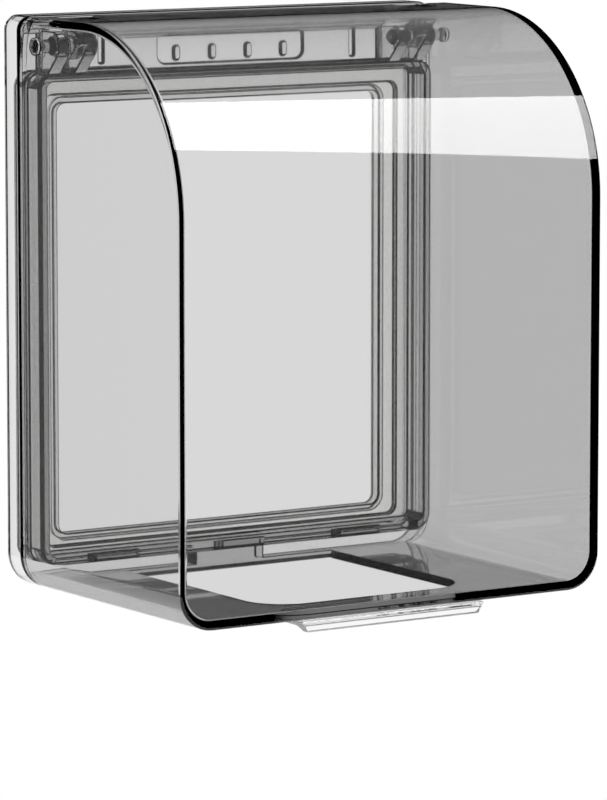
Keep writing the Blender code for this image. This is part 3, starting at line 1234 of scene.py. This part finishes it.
@dataclass
class SealRing:
    """The foam ring in the back of the base frame."""

    widths: Triple = (0.0051, 0.0036, 0.0016)
    outer_radius: float = 0.0017
    inner_radius: float = 0.0036
    edge_break: float = 0.0002

    def build(self, finish: Material) -> Piece:
        """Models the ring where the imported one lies.

        Args:
            finish: The foam.

        Returns:
            The ring.
        """
        low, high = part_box("wall_gasket")
        side, above, below = self.widths
        radii = (self.outer_radius, self.outer_radius)
        ring = rounded_block("seal_ring", high.x, (low.z, high.z), (low.y, high.y), radii)
        core = rounded_block(
            "seal_core",
            high.x - side,
            (low.z + below, high.z - above),
            (low.y - PAST, high.y + PAST),
            (self.inner_radius,) * 2,
        )
        carve(ring, core, Cut.AWAY)
        soften(ring, self.edge_break)
        dress(ring, finish)
        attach(ring, "base")
        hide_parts("wall_gasket")
        return ring


# ---- the room


@dataclass
class Studio:
    """The camera, a pale floor and plain soft light."""

    yaw: float = -33.092
    elevation: float = 7.606
    distance: float = 1.0954
    focal_px: float = 5173.4
    target: Triple = (0.02192, -0.00031, 0.03172)
    image: tuple[int, int] = (607, 800)
    sensor: float = 24.0
    floor_z: float = -0.30
    floor_size: float = 30.0
    floor_level: float = 0.85
    room_level: float = 0.5
    flag_distance: float = 1.2
    middle_z: float = 0.057
    softbox_place: Triple = (0.573, -0.604, 0.711)
    softbox_long_side: Triple = (0.504, -0.361, -0.785)
    softbox_aim: Triple = (0.0, -0.064, 0.095)
    softbox_size: Span = (0.86, 0.335)
    softbox_watts: float = 9.0
    light_bounces: int = 40

    def toward(self) -> Vector:
        """The direction in which the camera looks."""
        yaw, rise = math.radians(self.yaw), math.radians(self.elevation)
        level = math.cos(rise)
        return Vector((-math.sin(yaw) * level, math.cos(yaw) * level, -math.sin(rise)))

    def add_camera(self) -> None:
        """Places the camera at the photograph's viewing angle."""
        data = bpy.data.cameras.new("camera")
        data.sensor_fit = "VERTICAL"
        data.sensor_height = self.sensor
        data.lens = self.focal_px / self.image[1] * self.sensor
        data.clip_start = 0.01
        data.clip_end = 50.0
        camera = bpy.data.objects.new("camera", data)
        bpy.context.scene.collection.objects.link(camera)
        look = self.toward()
        camera.location = Vector(self.target) - look * self.distance
        camera.rotation_euler = look.to_track_quat("-Z", "Y").to_euler()
        bpy.context.scene.camera = camera

    def add_floor(self) -> None:
        """Lays a pale floor below the cover, which hangs on its wall."""
        deselect()
        bpy.ops.mesh.primitive_plane_add(size=self.floor_size, location=(0, 0, self.floor_z))
        floor = bpy.context.object
        floor.name = "floor"
        floor.data.materials.append(self.pale_floor())
        floor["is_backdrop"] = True

    @staticmethod
    def bright_rays(tree: bpy.types.NodeTree) -> bpy.types.NodeSocket:
        """Adds up the rays that see the pale background: camera, mirror and see-through ones.

        Args:
            tree: The material's or the world's nodes.

        Returns:
            A factor that is 1 for those rays.
        """
        ray = tree.nodes.new("ShaderNodeLightPath")
        total = ray.outputs["Is Camera Ray"]
        for name in ("Is Glossy Ray", "Is Transmission Ray"):
            add = tree.nodes.new("ShaderNodeMath")
            add.operation = "MAXIMUM"
            tree.links.new(total, add.inputs[0])
            tree.links.new(ray.outputs[name], add.inputs[1])
            total = add.outputs[0]
        return total

    def pale_floor(self) -> Material:
        """A pale floor material that the camera sees as white, and that is clear from below.

        Returns:
            The material.
        """
        material = bpy.data.materials.new("pale_floor")
        material.use_nodes = True
        tree = material.node_tree
        shader = tree.nodes["Principled BSDF"]
        feed(shader, {"Base Color": (self.floor_level,) * 3 + (1.0,), "Roughness": 0.9})
        glow = tree.nodes.new("ShaderNodeEmission")
        mix = tree.nodes.new("ShaderNodeMixShader")
        tree.links.new(self.bright_rays(tree), mix.inputs[0])
        tree.links.new(shader.outputs[0], mix.inputs[1])
        tree.links.new(glow.outputs[0], mix.inputs[2])
        side = tree.nodes.new("ShaderNodeNewGeometry")
        clear = tree.nodes.new("ShaderNodeBsdfTransparent")
        one_way = tree.nodes.new("ShaderNodeMixShader")
        tree.links.new(side.outputs["Backfacing"], one_way.inputs[0])
        tree.links.new(mix.outputs[0], one_way.inputs[1])
        tree.links.new(clear.outputs[0], one_way.inputs[2])
        tree.links.new(one_way.outputs[0], tree.nodes["Material Output"].inputs["Surface"])
        return material

    def add_world(self) -> None:
        """Sets the world white for what sees it, and softer for what it lights."""
        world = bpy.data.worlds.new("studio")
        bpy.context.scene.world = world
        world.use_nodes = True
        tree = world.node_tree
        back = tree.nodes["Background"]
        feed(back, {"Color": (1.0, 1.0, 1.0, 1.0)})
        level = tree.nodes.new("ShaderNodeMapRange")
        feed(level, {"To Min": self.room_level, "To Max": 1.0})
        tree.links.new(self.bright_rays(tree), level.inputs["Value"])
        tree.links.new(level.outputs["Result"], back.inputs["Strength"])

    def add_flags(self) -> None:
        """Hangs black cards round the cover, so that its edges read dark.

        Only mirror reflections see them, and not the camera, the light or the view through plastic.
        """
        black = bpy.data.materials.new("black_card")
        black.use_nodes = True
        shader = black.node_tree.nodes["Principled BSDF"]
        feed(shader, {"Base Color": (0.0, 0.0, 0.0, 1.0), "Roughness": 1.0})
        feed(shader, {"Specular IOR Level": 0.0})
        deselect()
        bpy.ops.mesh.primitive_cube_add(
            size=self.flag_distance * 2, location=(0, 0, self.middle_z)
        )
        tent = bpy.context.object
        tent.name = "black_cards"
        tent.data.materials.append(black)
        tent.visible_camera = False
        tent.visible_diffuse = False
        tent.visible_transmission = False
        tent.visible_shadow = False
        tent.visible_volume_scatter = False
        tent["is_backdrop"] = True

    def add_softbox(self) -> None:
        """Hangs a soft lamp that faces the cover, seen by light and mirror reflections alone."""
        data = bpy.data.lights.new("key_softbox", "AREA")
        data.shape = "RECTANGLE"
        data.size, data.size_y = self.softbox_size
        data.energy = self.softbox_watts
        lamp = bpy.data.objects.new("key_softbox", data)
        bpy.context.scene.collection.objects.link(lamp)
        place, along_x = Vector(self.softbox_place), Vector(self.softbox_long_side)
        away = (place - Vector(self.softbox_aim)).normalized()
        long_side = (along_x - away * along_x.dot(away)).normalized()
        turned = Matrix((long_side, away.cross(long_side), away)).transposed()
        lamp.matrix_world = Matrix.Translation(place) @ turned.to_4x4()
        lamp.visible_camera = False
        lamp.visible_transmission = False

    def build(self) -> None:
        """Sets the room up."""
        self.add_camera()
        self.add_floor()
        self.add_world()
        self.add_flags()
        self.add_softbox()
        bpy.context.scene.view_settings.view_transform = "Standard"
        cycles = bpy.context.scene.cycles
        for kind in ("max", "transmission", "glossy", "transparent_max"):
            setattr(cycles, f"{kind}_bounces", self.light_bounces)


def main() -> dict[str, list[list[float]]]:
    """Builds the room and the cover's pieces.
    """
    logging.basicConfig(level=logging.INFO, format="%(name)s: %(message)s")
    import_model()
    sizes = {"cad": [list(corner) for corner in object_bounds()]}
    Studio().build()
    cover = Cover.from_frame()
    surface = moulded_surface()
    # Both mouldings get painted shade, a black base colour on their fine rounds, for the dark that
    # refraction gives at edges
    smoke = ClearPlastic("smoke_plastic", 185.0, lamp_share=0.85, painted_edge_level=0.0).build(surface)
    frame_finish = ClearPlastic("smoke_plastic_frame", 105.0, lamp_share=0.85, painted_edge_level=0.0)
    frame_smoke = frame_finish.build(surface)
    clear = ClearPlastic("clear_plastic", 12.0, lamp_share=0.95).build(surface)
    foam = SealFoam().build()
    made = [BaseFrame(cover).build(frame_smoke), Lid(cover).build(smoke)]
    made += HingePins().build(smoke)
    made += [PullTab().build(clear), SealRing().build(foam)]
    for piece in made:
        log.info("%s: %d faces", piece.name, len(piece.data.polygons))
    sizes["visual"] = [list(corner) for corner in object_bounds()]
    return sizes


if __name__ == "__main__":
    main()
